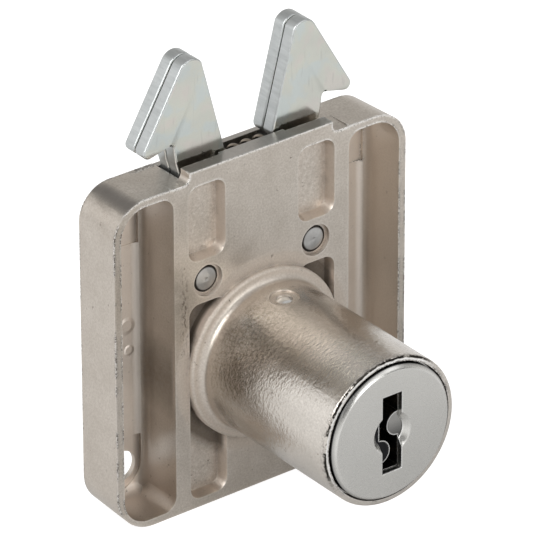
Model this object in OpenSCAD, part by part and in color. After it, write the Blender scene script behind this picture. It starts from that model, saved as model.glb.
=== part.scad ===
// Drawer lock: a flat cast case with a round key barrel, and two hooks that
// swing on pins and snap over a keeper.
// The origin is where the barrel's axis meets the front face of the case.
// X runs across the case, Y into it from the front face, and Z up to the hooks.

/* [Case] */
// Width of the case
case_width = 40.5; // [39:0.5:46]
// Height of the shoulders above the barrel's axis
shoulder_height = 24.3; // [24:0.1:25]
// Distance from the barrel's axis down to the bottom edge
bottom_drop = 17; // [16.5:0.5:20]
// Distance that the outer walls lean inward from front to back
case_draft = 0.27; // [0.1:0.01:0.35]
// Radius of the two upper corners
top_corner_radius = 4.3; // [3.5:0.1:5]
// Radius of the two lower corners
bottom_corner_radius = 5; // [4:0.5:6]
// Thickness of the front wall where the hooks run
front_wall = 2.25; // [2.1:0.05:2.6]
// Thickness of the rim round each side pocket
rim_wall = 0.95; // [0.8:0.05:1.2]
// Height of the front lip above the shoulders
lip_rise = 1.25; // [1:0.05:1.6]
// Width of the front lip
lip_width = 19.8; // [19:0.2:20.4]
// Radius of the curve at each end of the lip
lip_fillet = 0.9; // [0.6:0.1:1.2]
// Thickness of the lip in its middle
lip_middle = 2.05; // [1.9:0.05:2.1]
// Thickness of the lip in front of the hooks
lip_side = 1.65; // [1.5:0.05:1.9]
// Width of the thick middle of the lip
lip_middle_width = 9; // [8:0.5:10]
// Depth of the shallow step on the shoulders beside the slot
step_depth = 0.15; // [0.1:0.05:0.3]
// Width across the shallow step
step_width = 24.6; // [24.2:0.2:25]

/* [Side pockets] */
// Width of each side pocket
pocket_width = 7.15; // [6.8:0.05:7.3]
// Thickness of the floor of each side pocket
pocket_floor = 0.7; // [0.7:0.05:1]
// Radius between the floor and the walls of a pocket
pocket_fillet = 1.5; // [1:0.1:1.8]
// Radius of the pocket corners beside the rim
pocket_outer_radius = 3.4; // [2.5:0.1:3.5]
// Radius of the pocket corners beside the middle of the case
pocket_inner_radius = 1.7; // [1.2:0.1:2]
// Depth of the flat pads below the pocket floor
pad_depth = 0.1; // [0.05:0.05:0.1]
// Height of the lower edge of the upper pads above the axis
upper_pad_bottom = 15.5; // [14.5:0.5:16.5]
// Height of the lower pads above their screw holes
lower_pad_rise = 3.6; // [3.4:0.1:4.5]
// Radius of the round ends of the pads
pad_radius = 3; // [2.6:0.1:3.1]

/* [Screw holes] */
// Diameter of the screw holes
screw_hole = 3.8; // [3.2:0.1:4.2]
// Distance between the screw holes across the case
screw_spacing_x = 30.4; // [30.2:0.1:31]
// Distance between the screw holes up the case
screw_spacing_z = 32; // [31:0.5:32.5]
// Height of the middle of the screw holes above the axis
screw_middle_z = 3.6; // [3.2:0.1:4]

/* [Front recesses] */
// Depth of the four recesses in the front face
recess_depth = 1.3; // [1:0.1:1.3]
// Distance from the middle to the inner edge of a recess
recess_inner = 5.05; // [4.8:0.05:5.4]
// Width of each recess
recess_width = 5.1; // [4.6:0.1:5.2]
// Lower edge of the upper recesses
upper_recess_bottom = 14.3; // [14:0.1:15]
// Upper edge of the upper recesses
upper_recess_top = 23.6; // [22:0.1:23.6]
// Upper edge of the lower recesses
lower_recess_top = 8.9; // [8:0.1:9.2]
// Distance from the axis down to the lower edge of the lower recesses
lower_recess_drop = 15.9; // [14:0.1:16]
// Corner radius of the recesses
recess_radius = 1.4; // [1:0.1:1.6]
// Distance that the recess walls lean inward from the front to the floor
recess_draft = 0.4; // [0.2:0.1:0.6]

/* [Barrel] */
// Diameter of the barrel
barrel_diameter = 18; // [17.8:0.1:18.2]
// Length of the barrel from the front face
barrel_length = 22.6; // [22.6:0.2:26]
// Diameter of the raised ring where the barrel meets the case
ring_diameter = 20.8; // [20.4:0.1:21.2]
// Height of the raised ring
ring_rise = 0.7; // [0.6:0.05:0.8]
// Radius of the ring's outer edge
ring_edge = 0.45; // [0.3:0.05:0.5]
// Radius of the curve between the ring and the barrel
barrel_fillet = 1; // [0.5:0.1:1]
// Thickness of the barrel's rim
rim_thickness = 0.65; // [0.55:0.05:0.75]
// Depth of the counterbore that the core's head turns in
counterbore_depth = 2.5; // [2.4:0.1:2.8]
// Depth of the tumbler grooves
groove_depth = 0.8; // [0.75:0.05:1]

/* [Core] */
// Diameter of the core's face
face_diameter = 16.3; // [16:0.1:16.4]
// Distance that the face stands out of the barrel
face_proud = 0.6; // [0.3:0.1:0.8]
// Depth of the drawn cap that covers the core's head
cap_depth = 1.6; // [1.3:0.1:1.8]
// Thickness of the cap's front
cap_front = 0.7; // [0.6:0.05:0.9]
// Thickness of the cap's skirt
cap_skirt = 0.35; // [0.3:0.05:0.45]
// Width of the slope round the edge of the face
face_bevel = 0.45; // [0.3:0.05:0.5]
// Diameter of the core's body
core_diameter = 12.9; // [12.6:0.1:13]
// Width of the keyway in the face
keyway_width = 2.65; // [2.6:0.05:3]
// Height of the keyway in the face
keyway_height = 9.6; // [9:0.1:10]
// Radius of the two round wards in the keyway
ward_radius = 1.5; // [1.2:0.1:1.6]
// Height of the right ward above the axis
ward_height = 0.6; // [0.4:0.1:1]
// Distance from the axis down to the left ward
ward_drop = 2.4; // [2.2:0.1:2.8]
// Diameter of the round dish in the face
dish_diameter = 5.1; // [4.6:0.1:5.6]
// Thickness of the blade on the core's tail
tail_thickness = 2.2; // [1.8:0.1:2.6]
// Width of the blade on the core's tail
tail_width = 8; // [6:0.5:9]

/* [Tumblers] */
// Number of wafer tumblers
wafer_count = 6; // [6:1:6]
// Distance from one wafer to the next
wafer_pitch = 1.9; // [1.7:0.05:1.95]
// Thickness of a wafer
wafer_thickness = 1; // [0.7:0.05:1.1]
// Width of a wafer
wafer_width = 6.8; // [6.4:0.1:7]
// Distance that a wafer springs out when the key is drawn
wafer_travel = 0.6; // [0.4:0.05:0.6]
// Distance that the retaining wafer stands out of the core
retainer_reach = 0.5; // [0.3:0.05:0.55]

/* [Hooks] */
// Thickness of one hook plate
plate_thickness = 1.75; // [1.6:0.05:1.8]
// Gap between the two plates of a hook
plate_gap = 0.1; // [0.05:0.05:0.2]
// Distance of each pivot from the middle
pivot_x = 7.5; // [7.4:0.05:7.6]
// Height of the pivots above the axis
pivot_z = 11.5; // [11.3:0.1:11.7]
// Diameter of the pivot pins
pin_diameter = 3.2; // [2.8:0.1:3.4]
// Angle that the hooks lean outward at rest
hook_lean = 14.7; // [14.4:0.1:15]
// Angle that each hook swings inward when the key is turned
hook_swing = 13.7; // [13.3:0.1:14]
// Height of the underside of the barb above the pivot
barb_height = 16.9; // [16.5:0.1:18]
// Height of the sloping edge where it would cross the pivot's upright
ramp_height = 20.33; // [20:0.1:20.6]
// Radius of the hook's tip
tip_radius = 1.72; // [1.5:0.02:1.8]
// Radius of the point of the barb
barb_radius = 0.75; // [0.6:0.05:0.9]
// Radius in the corner under the barb
barb_fillet = 0.5; // [0.3:0.1:0.8]

/* [Hook spring] */
// Outer diameter of the spring
spring_diameter = 2.5; // [2.3:0.1:2.5]
// Diameter of the spring's wire
spring_wire = 0.54; // [0.4:0.02:0.6]
// Number of turns of the spring
spring_turns = 5; // [4:1:6]
// Height of the spring above the pivots
spring_rise = 11.72; // [11.6:0.02:11.8]

/* [Driver and cam] */
// Half of the space between the hook tails
tail_face = 3.26; // [3.2:0.01:3.3]
// Clearance between the cam and the tails
cam_clearance = 0.06; // [0.04:0.01:0.1]
// Angle that the key turns
key_travel = 90; // [90:1:90]
// Width of the square on the driver
square_width = 2.8; // [2.4:0.1:2.9]
// Diameter of the journal at the back of the driver
journal_diameter = 2.7; // [2.2:0.1:2.7]
// Diameter of the stop pin
stop_pin_diameter = 1.9; // [1.6:0.1:2]
// Distance of the stop pin from the front face
stop_pin_y = 4.6; // [4.4:0.1:4.8]
// Angle of the stop pin to the left of the barrel's top
stop_pin_angle = 3; // [0:1:4]
// Diameter of the dimple round the stop pin
dimple_diameter = 3.4; // [3:0.1:3.8]

/* [Rear cover] */
// Thickness of the rear cover
cover_thickness = 0.7; // [0.65:0.05:0.9]
// Height of the cover's raised inner face
cover_land = 0.1; // [0.1:0.05:0.2]
// Width of the rear cover
cover_width = 23.2; // [22.8:0.1:23.4]
// Width across the two ears at the top of the cover
ear_width = 26.6; // [25:0.2:27]
// Height of the ears
ear_height = 0.8; // [0.6:0.1:0.8]
// Width of the space that the hooks move in
cavity_width = 21.2; // [21.2:0.1:21.4]
// Distance that the ends of the slot stand in from the cavity's sides
slot_inset = 0.6; // [0.4:0.1:0.7]
// Distance from the axis down to the bottom of that space
cavity_drop = 14.8; // [14:0.1:15]
// Diameter of the cast studs that hold the cover
stud_diameter = 3.2; // [2.8:0.1:3.4]
// Diameter of the parts of the studs and pins in the cover
rivet_diameter = 2.2; // [1.8:0.1:2.4]

/* [Hidden] */
$fn = 64;
past = 1;

// Clearances
running_gap = 0.05;
press_gap = 0.02;
face_play = 0.1;

// Depths inside the case, measured from the front face
hook_y = front_wall + face_play;
rear_plate_y = hook_y + plate_thickness + plate_gap;
hook_end_y = rear_plate_y + plate_thickness;
land_y = hook_end_y + running_gap;
cover_y = land_y + cover_land;
case_depth = cover_y + cover_thickness;
pocket_floor_y = case_depth - pocket_floor;
pad_y = pocket_floor_y + pad_depth;

// Distances along the barrel, measured from the front face
face_y = -barrel_length - face_proud;
counterbore_y = -barrel_length + counterbore_depth;
driver_y = -stop_pin_y - stop_pin_diameter / 2 - 0.55;
core_end_y = driver_y - 0.15;
first_wafer_y = counterbore_y + 1.1;
last_wafer_y = first_wafer_y + (wafer_count - 1) * wafer_pitch;
retainer_y = last_wafer_y + wafer_pitch;
keyway_end_y = retainer_y + wafer_thickness / 2 + running_gap;
blade_length = 2.9;

// Radii about the barrel's axis
barrel_radius = barrel_diameter / 2;
ring_radius = ring_diameter / 2;
rim_radius = barrel_radius - rim_thickness;
core_radius = core_diameter / 2;
bore_radius = core_radius + running_gap;
groove_radius = bore_radius + groove_depth;
face_radius = face_diameter / 2;
stop_floor_radius = 4.9;
dimple_depth = 0.25;
stop_half_angle = asin((stop_pin_diameter / 2 + running_gap) / stop_floor_radius);

// Places across and up the case
pocket_outer_x = case_width / 2 - rim_wall;
pocket_inner_x = pocket_outer_x - pocket_width;
pocket_top = shoulder_height - 0.9;
pocket_bottom = -bottom_drop + 0.85;
hole_x = screw_spacing_x / 2;
upper_hole_z = screw_middle_z + screw_spacing_z / 2;
lower_hole_z = screw_middle_z - screw_spacing_z / 2;
cavity_x = cavity_width / 2;
slot_x = cavity_x - slot_inset;
slot_z = 19;
cover_x = cover_width / 2;
cover_bottom = -cavity_drop - 0.9;
stud_x = cavity_x - 3;
stud_z = 2.4 - cavity_drop;
pocket_middle_x = (pocket_outer_x + pocket_inner_x) / 2;
step_z = shoulder_height - step_depth;
cover_top = shoulder_height - case_draft - 0.05;
lip_top = shoulder_height + lip_rise;
lip_inner_z = 23.7;

// Wafers
wafer_radius = core_radius - running_gap;
wafer_window = [3.1, 9.7];
window_shifts = [0.35, -0.2, 0.4, 0, -0.35, 0.2];
slot_gap = 0.04;
lug_reach = 4.7;
lug_bottom = 0.4;
lug_height = 1.2;
small_spring_length = 3.3;
small_spring_bottom = lug_bottom - small_spring_length;
small_wire = 0.2;
small_radius = 0.4;
small_turns = 4;
small_spring_x = 4.05;

// The hooks, drawn upright and measured from their pivots
pivot = [pivot_x, pivot_z];
pin_radius = pin_diameter / 2;
lobe_radius = 2.85;
shoulder_z = 11.62;
closed_lean = hook_lean - hook_swing;
hook_inner = -(pivot_x + shoulder_z * sin(closed_lean) - 0.06) / cos(closed_lean);
shoulder_radius = 0.9;
shoulder_centre = [shoulder_radius + hook_inner, shoulder_z + shoulder_radius];
tip_reach = 6;
tip_centre = [-tip_reach, ramp_height - tip_radius * sqrt(2) + tip_reach];
barb_centre_z = barb_height + barb_radius;
barb_centre = [ramp_height - barb_radius * sqrt(2) - barb_centre_z, barb_centre_z];
stem_x = -1.45;
stem_side = [[stem_x, barb_height - barb_fillet], [-1.19, 14.2], [-1.25, 13], [1.2, 4.5]];

// The hooks in place, leaning outward
inner_edge_top = 2.79;
tail_radius = 1.5;
tail_centre = [tail_face + tail_radius, -3.5];
seat_x = 4.75;
spring_z = pivot_z + spring_rise;
spring_pocket = spring_diameter / 2 + 0.22;
spring_y = (hook_y + hook_end_y) / 2;
spring_length = 2 * seat_x - 0.1;

// The cam is shaped so that equal turns of the key give equal swings
swing_ratio = hook_swing / key_travel;
cam_reach = tail_face - cam_clearance;
cam_steps = 15;

// Directions and distances worked out by the formulas below

// A point of the leaning hook from a point of the upright hook
function leaned(p) = pivot + [
  p.x * cos(hook_lean) + p.y * sin(hook_lean),
  p.y * cos(hook_lean) - p.x * sin(hook_lean)
];

// A point at a radius and an angle about a centre
function around(centre, radius, angle) = centre + radius * [cos(angle), sin(angle)];

// Angle of the normal of the line that touches two circles on their right side
function touch_angle(a, ra, b, rb) =
  atan2(a.y - b.y, a.x - b.x) - acos((rb - ra) / norm(a - b));

// Distance of a hook's tail from the axis when the key stands at an angle
function tail_distance(turn) =
  pivot_x * cos(swing_ratio * turn) + pivot_z * sin(swing_ratio * turn) - pivot_x + cam_reach;

// Rate at which that distance grows with the key's angle
function tail_rate(turn) =
  swing_ratio * (pivot_z * cos(swing_ratio * turn) - pivot_x * sin(swing_ratio * turn));

// The point of a lobe that touches its tail when the key stands at an angle
function lobe_point(turn, start, side) =
  let (direction = start + turn + side * swing_ratio * turn,
       slope = tail_rate(turn) / (1 + side * swing_ratio))
  tail_distance(turn) * [cos(direction), sin(direction)] + slope * [-sin(direction), cos(direction)];

// Points along the middle of a coil that starts and ends straight
function coil_path(radius, wire, turns, length) =
  let (count = turns * 8, climb = length - 2 * wire)
  concat(
    [[radius, 0, 0]],
    [for (i = [0:count]) [radius * cos(45 * i), radius * sin(45 * i), wire + climb * i / count]],
    [[radius, 0, length]]
  );

// The smallest space between one turn of a coil and the rest of it
function coil_gap(path, wire) =
  min([for (i = [0:len(path) - 6]) for (j = [i + 5:len(path) - 1]) norm(path[i] - path[j])]) - wire;

// Shared shapes

// Extrudes a shape drawn in X and Z from one depth to another
module sheet(y0, y1) {
  translate([0, y1, 0])
    rotate([90, 0, 0])
      linear_extrude(y1 - y0) children();
}

// A round bar along Y from one depth to another
module rod(radius, y0, y1) {
  translate([0, y1, 0])
    rotate([90, 0, 0])
      cylinder(r = radius, h = y1 - y0);
}

// A cone along Y with its own radius at each depth
module taper(r0, y0, r1, y1) {
  translate([0, y1, 0])
    rotate([90, 0, 0])
      cylinder(r1 = r1, r2 = r0, h = y1 - y0);
}

// A solid of revolution about Y, drawn as radius and distance out of the front face
module turned() {
  rotate([90, 0, 0])
    rotate_extrude() children();
}

// A rectangle from its lower left to its upper right corner
module patch(a, b) {
  translate(a) square(b - a);
}

// A rectangle whose four corners have their own radii, from lower left round to upper left
module rounded(a, b, radii) {
  corners = [a, [b.x, a.y], b, [a.x, b.y]];
  signs = [[1, 1], [-1, 1], [-1, -1], [1, -1]];
  difference() {
    patch(a, b);
    for (i = [0:3])
      if (radii[i] > 0)
        translate(corners[i] + signs[i] * radii[i] / 2)
          square(radii[i], center = true);
  }
  for (i = [0:3])
    if (radii[i] > 0)
      translate(corners[i] + signs[i] * radii[i])
        circle(radii[i]);
}

// A block whose upright walls lean inward by the same distance from one depth to another,
// with one radius for its lower corners and one for its upper corners
module drafted(a, b, lower, upper, y0, y1, lean) {
  low = a.y + lower;
  high = b.y - upper;
  for (x = [a.x + lower, b.x - lower])
    translate([x, 0, low]) taper(lower, y0, lower - lean, y1);
  for (x = [a.x + upper, b.x - upper])
    translate([x, 0, high]) taper(upper, y0, upper - lean, y1);
  translate([0, 0, low])
    linear_extrude(high - low)
      polygon([[a.x, y0], [b.x, y0], [b.x - lean, y1], [a.x + lean, y1]]);
  translate([a.x + lower, 0, 0])
    rotate([90, 0, 90])
      linear_extrude(b.x - a.x - 2 * lower)
        polygon([[y0, a.y], [y0, low], [y1, low], [y1, a.y + lean]]);
  translate([a.x + upper, 0, 0])
    rotate([90, 0, 90])
      linear_extrude(b.x - a.x - 2 * upper)
        polygon([[y0, high], [y0, b.y], [y1, b.y - lean], [y1, high]]);
}

// Repeats its children on the left side
module both() {
  children();
  mirror([1, 0, 0]) children();
}

// A coil of wire that stands on the XY plane
module coil(radius, wire, turns, length) {
  path = coil_path(radius, wire, turns, length);
  count = len(path);
  sides = 6;
  points = [
    for (i = [0:count - 1])
      let (ahead = path[min(i + 1, count - 1)],
           behind = path[max(i - 1, 0)],
           along = (ahead - behind) / norm(ahead - behind),
           turn = 45 * max(0, min(i - 1, count - 3)),
           out = [cos(turn), sin(turn), 0],
           across = cross(along, out))
      for (k = [0:sides - 1])
        path[i] + wire / 2 * (out * cos(60 * k) + across / norm(across) * sin(60 * k))
  ];
  walls = [
    for (i = [0:count - 2]) for (k = [0:sides - 1])
      let (here = i * sides, there = here + sides, n = (k + 1) % sides)
      each [
        [here + k, there + k, there + n],
        [here + k, there + n, here + n]
      ]
  ];
  ends = [
    [for (k = [0:sides - 1]) k],
    [for (k = [sides - 1:-1:0]) (count - 1) * sides + k]
  ];
  echo(least_coil_gap = coil_gap(path, wire));
  polyhedron(points, concat(walls, ends), convexity = 8);
}

// Case

// The block of the case without its lip and barrel
module case_block() {
  drafted(
    [-case_width / 2, -bottom_drop],
    [case_width / 2, shoulder_height],
    bottom_corner_radius,
    top_corner_radius,
    0,
    case_depth,
    case_draft
  );
}

// The lip above the slot, with a curve at each end
module lip_outline() {
  patch([-lip_width / 2, upper_recess_top], [lip_width / 2, lip_top]);
  both()
    difference() {
      patch([lip_width / 2 - past, upper_recess_top], [lip_width / 2 + lip_fillet, step_z + lip_fillet]);
      translate([lip_width / 2 + lip_fillet, step_z + lip_fillet]) circle(lip_fillet);
    }
}

// The right side pocket seen from the front
module pocket_outline() {
  rounded(
    [pocket_inner_x, pocket_bottom],
    [pocket_outer_x, pocket_top],
    [pocket_inner_radius, pocket_outer_radius, pocket_outer_radius, pocket_inner_radius]
  );
}

// The flat pads round the screw holes on the right
module pads() {
  left = pocket_middle_x - pad_radius;
  right = pocket_middle_x + pad_radius;
  sheet(pocket_floor_y - pocket_fillet, pad_y) {
    patch([left, upper_pad_bottom], [right, upper_hole_z]);
    patch([left, lower_hole_z], [right, lower_hole_z + lower_pad_rise]);
  }
  for (z = [upper_hole_z, lower_hole_z])
    translate([pocket_middle_x, 0, z])
      rod(pad_radius, pocket_floor_y - pocket_fillet, pad_y);
}

// The space of the right side pocket, with its floor curved up to the walls
module pocket() {
  intersection() {
    sheet(-past, pocket_floor_y) pocket_outline();
    translate([0, 0, pocket_bottom - past])
      linear_extrude(pocket_top - pocket_bottom + 2 * past)
        rounded(
          [pocket_inner_x, -past],
          [pocket_outer_x, pocket_floor_y],
          [0, 0, pocket_fillet, pocket_fillet]
        );
    translate([pocket_inner_x - past, 0, 0])
      rotate([90, 0, 90])
        linear_extrude(pocket_width + 2 * past)
          rounded(
            [-past, pocket_bottom],
            [pocket_floor_y, pocket_top],
            [0, pocket_fillet, pocket_fillet, 0]
          );
  }
  pads();
}

// One recess of the front face, from its lower left to its upper right corner
module recess(a, b) {
  past_front = [recess_draft, recess_draft];
  drafted(
    a - past_front,
    b + past_front,
    recess_radius + recess_draft,
    recess_radius + recess_draft,
    -recess_depth,
    recess_depth,
    2 * recess_draft
  );
}

// The two recesses on the right of the front face
module front_recesses() {
  right = recess_inner + recess_width;
  recess([recess_inner, upper_recess_bottom], [right, upper_recess_top]);
  recess([recess_inner, -lower_recess_drop], [right, lower_recess_top]);
}

// The profile of the barrel and its ring, as radius and distance from the front face
module barrel_profile() {
  edge = 0.3;
  foot = barrel_radius + barrel_fillet;
  patch([0, 0], [ring_radius, ring_rise - ring_edge]);
  patch([0, 0], [ring_radius - ring_edge, ring_rise]);
  translate([ring_radius - ring_edge, ring_rise - ring_edge]) circle(ring_edge);
  patch([0, 0], [barrel_radius, barrel_length - edge]);
  patch([0, 0], [barrel_radius - edge, barrel_length]);
  translate([barrel_radius - edge, barrel_length - edge]) circle(edge);
  difference() {
    patch([0, 0], [foot, ring_rise + barrel_fillet]);
    translate([foot, ring_rise + barrel_fillet]) circle(barrel_fillet);
  }
}

// The space where the hooks move, open at the top and at the back
module cavity() {
  sheet(front_wall, case_depth + past) {
    rounded([-cavity_x, -cavity_drop], [cavity_x, slot_z], [2, 2, 0, 0]);
    patch([-slot_x, slot_z - past], [slot_x, lip_top + past]);
  }
  sheet(cover_y, case_depth + past) cover_outline(press_gap);
  translate([-slot_x, lip_side, lip_inner_z])
    cube([2 * slot_x, case_depth, lip_rise * 2]);
}

// Turns its children from upright to the angle of the stop pin
module at_stop_pin() {
  translate([0, -stop_pin_y, 0])
    rotate([0, -stop_pin_angle, 0]) children();
}

module case() {
  color("DarkGray") {
    difference() {
      union() {
        difference() {
          case_block();
          both() {
            pocket();
            front_recesses();
            translate([slot_x - past, 0.1, step_z])
              cube([step_width / 2 - slot_x + past, case_depth, past]);
          }
        }
        sheet(0, lip_side) lip_outline();
        rod(ring_radius, 0, recess_depth + press_gap);
        turned() barrel_profile();
      }
      cavity();
      rod(rim_radius, -barrel_length - past, counterbore_y);
      rod(bore_radius, counterbore_y - past, front_wall + past);
      for (turn = [0, 90])
        rotate([0, turn, 0])
          translate([-wafer_width / 2 - 0.3, counterbore_y - past, -groove_radius])
            cube([wafer_width + 0.6, last_wafer_y + 0.8 - counterbore_y + past, 2 * groove_radius]);
      rod(groove_radius, retainer_y - 0.6, retainer_y + 0.6);
      both() {
        translate([hole_x, 0, upper_hole_z]) rod(screw_hole / 2, 0, case_depth + past);
        translate([hole_x, 0, lower_hole_z]) rod(screw_hole / 2, 0, case_depth + past);
        translate([pivot_x, 0, pivot_z]) rod(pin_radius + press_gap, -past, case_depth);
        translate([pivot_x, 0, pivot_z]) rod(pin_radius + 0.35, -past, 0.5);
      }
      at_stop_pin() {
        cylinder(d = stop_pin_diameter + 2 * press_gap, h = barrel_radius + past);
        translate([0, 0, barrel_radius - dimple_depth]) cylinder(d = dimple_diameter, h = past);
      }
    }
    translate([0, lip_side - press_gap, 0])
      intersection() {
        sheet(0, lip_middle - lip_side + press_gap)
          patch([-lip_middle_width / 2, lip_inner_z - past], [lip_middle_width / 2, lip_top]);
        translate([-lip_width / 2, 0, lip_inner_z - press_gap]) cube([lip_width, past, lip_rise * 3]);
      }
    both() {
      translate([stud_x, 0, stud_z]) rod(stud_diameter / 2, front_wall - press_gap, land_y);
      translate([stud_x, 0, stud_z]) rod(rivet_diameter / 2, land_y - press_gap, case_depth - 0.05);
    }
  }
}

// Rear cover

// The outline of the cover and of the seat that it lies in
module cover_outline(gap = 0) {
  rounded(
    [-cover_x - gap, cover_bottom - gap],
    [cover_x + gap, cover_top],
    [2.5, 2.5, 0, 0]
  );
  patch([-ear_width / 2 - gap, cover_top - ear_height - gap], [ear_width / 2 + gap, cover_top]);
}

module rear_cover() {
  color("Silver")
    difference() {
      union() {
        sheet(cover_y, case_depth) cover_outline();
        sheet(land_y, cover_y + press_gap) {
          rounded([0.3 - cavity_x, 0.3 - cavity_drop], [cavity_x - 0.3, slot_z - 0.3], [2, 2, 0, 0]);
          patch([0.3 - slot_x, 0], [slot_x - 0.3, cover_top]);
        }
      }
      rod(journal_diameter / 2 + running_gap, land_y - past, case_depth + past);
      both() {
        for (place = [[stud_x, stud_z], [pivot_x, pivot_z]])
          translate([place.x, 0, place.y])
            rod(rivet_diameter / 2 + press_gap, land_y - past, case_depth + past);
      }
    }
}

// Pins

// The right pivot pin, with its thin end riveted in the cover
module pivot_pin() {
  color("Gray")
    translate([pivot_x, 0, pivot_z]) {
      taper(pin_radius - 0.2, 0.3, pin_radius, 0.5);
      rod(pin_radius, 0.5, land_y);
      rod(rivet_diameter / 2, land_y, case_depth - 0.05);
    }
}

module right_pivot_pin() {
  pivot_pin();
}

module left_pivot_pin() {
  mirror([1, 0, 0]) pivot_pin();
}

// The pin that stops the driver's turn, with its domed end in the dimple
module stop_pin() {
  dome = stop_pin_diameter;
  color("Gray")
    at_stop_pin()
      intersection() {
        translate([0, 0, stop_floor_radius + 0.1])
          cylinder(d = stop_pin_diameter, h = barrel_radius - stop_floor_radius - 0.15);
        translate([0, 0, barrel_radius - 0.05 - dome]) sphere(dome);
      }
}

// Hooks

// The straight sides of the right hook's outline
module hook_sides() {
  lobe_angle = touch_angle(pivot, lobe_radius, tail_centre, tail_radius);
  stem_foot = stem_side[3];
  foot_angle = atan2(stem_foot.y, stem_foot.x) - hook_lean;
  stem_angle = foot_angle - acos(lobe_radius / norm(stem_foot));
  polygon([
    leaned(shoulder_centre - [0, shoulder_radius]),
    leaned(shoulder_centre - [shoulder_radius, 0]),
    leaned([hook_inner, tip_centre.y]),
    leaned(tip_centre),
    leaned(around(tip_centre, tip_radius, 45)),
    leaned(around(barb_centre, barb_radius, 45)),
    leaned(barb_centre),
    leaned([barb_centre.x, barb_height]),
    leaned([stem_x, barb_height]),
    leaned(stem_side[0]),
    leaned(stem_side[1]),
    leaned(stem_side[2]),
    leaned(stem_side[3]),
    around(pivot, lobe_radius, stem_angle),
    pivot,
    around(pivot, lobe_radius, lobe_angle),
    around(tail_centre, tail_radius, lobe_angle),
    tail_centre,
    [tail_face, tail_centre.y],
    [tail_face, 9],
    [inner_edge_top, spring_z - spring_pocket],
    [seat_x + past, spring_z]
  ]);
}

// One plate of the right hook, leaning outward at rest
module hook_plate(y0, y1) {
  rounds = [
    [pivot, lobe_radius],
    [tail_centre, tail_radius],
    [leaned(tip_centre), tip_radius],
    [leaned(barb_centre), barb_radius],
    [leaned(shoulder_centre), shoulder_radius]
  ];
  corner = [stem_x + barb_fillet, barb_height - barb_fillet];
  color("LightSteelBlue")
    difference() {
      union() {
        sheet(y0, y1) hook_sides();
        for (disc = rounds)
          translate([disc[0].x, 0, disc[0].y]) rod(disc[1], y0, y1);
        difference() {
          sheet(y0, y1)
            translate(pivot)
              rotate(-hook_lean)
                patch([stem_x - past, corner.y], [corner.x, barb_height]);
          translate([leaned(corner).x, 0, leaned(corner).y])
            rod(barb_fillet, y0 - past, y1 + past);
        }
      }
      translate([pivot_x, 0, pivot_z]) rod(pin_radius + running_gap, y0 - past, y1 + past);
      translate([0, y0 - past, spring_z - spring_pocket])
        cube([seat_x, y1 - y0 + 2 * past, 2 * spring_pocket]);
      sheet(y0 - past, y1 + past)
        translate(pivot)
          rotate(-hook_lean)
            patch([hook_inner - 2, shoulder_z], [hook_inner, ramp_height + 2 * pivot_x]);
    }
}

module right_hook_front_plate() {
  hook_plate(hook_y, hook_y + plate_thickness);
}

module right_hook_rear_plate() {
  hook_plate(rear_plate_y, hook_end_y);
}

module left_hook_front_plate() {
  mirror([1, 0, 0]) right_hook_front_plate();
}

module left_hook_rear_plate() {
  mirror([1, 0, 0]) right_hook_rear_plate();
}

// The coil spring between the two hooks
module hook_spring() {
  color("DimGray")
    translate([-spring_length / 2, spring_y, spring_z])
      rotate([0, 90, 0])
        coil((spring_diameter - spring_wire) / 2, spring_wire, spring_turns, spring_length);
}

// Cam and driver

module cam() {
  turns = [for (i = [0:cam_steps]) key_travel * i / cam_steps];
  color("DarkKhaki")
    sheet(hook_y, hook_end_y - running_gap)
      difference() {
        polygon(concat(
          [for (turn = turns) lobe_point(turn, 0, 1)],
          [for (turn = turns) lobe_point(turn, 180, -1)]
        ));
        square(square_width + 2 * running_gap, center = true);
      }
}

module driver() {
  color("DarkKhaki")
    difference() {
      union() {
        rod(core_radius, driver_y, front_wall - running_gap);
        translate([-square_width / 2, front_wall - press_gap - running_gap, -square_width / 2])
          cube([square_width, land_y - front_wall, square_width]);
        rod(journal_diameter / 2, land_y - press_gap - 0.1, case_depth - 0.1);
      }
      translate([-tail_thickness / 2 - 0.05, driver_y - past, -tail_width / 2 - 0.05])
        cube([tail_thickness + 0.1, blade_length + past, tail_width + 0.1]);
      translate([0, -stop_pin_y + stop_pin_diameter / 2 + running_gap, 0])
        rotate([90, 0, 0])
          rotate([0, 0, 90 + stop_pin_angle - stop_half_angle])
            rotate_extrude(angle = key_travel + 2 * stop_half_angle)
              patch([stop_floor_radius, 0], [core_radius + past, stop_pin_diameter + 2 * running_gap]);
    }
}

// Core

// The slot that the key slides into, narrowed to an S by a round ward on each side
module keyway() {
  side = keyway_width / 2 - 0.05;
  end = keyway_height / 2 - 0.1;
  difference() {
    patch([-side, -end], [side, end]);
    translate([side, ward_height]) circle(ward_radius);
    translate([-side, -ward_drop]) circle(ward_radius);
  }
}

// The space for one wafer and its spring at a distance along the core
module wafer_slot(y) {
  half = wafer_thickness / 2 + slot_gap;
  translate([-wafer_width / 2 - slot_gap, y - half, -core_radius - past])
    cube([wafer_width + 2 * slot_gap, 2 * half, 2 * core_radius + 2 * past]);
  translate([0, y - half, small_spring_bottom])
    cube([lug_reach + slot_gap, 2 * half, lug_bottom + lug_height + wafer_travel + 0.1 - small_spring_bottom]);
}

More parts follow.
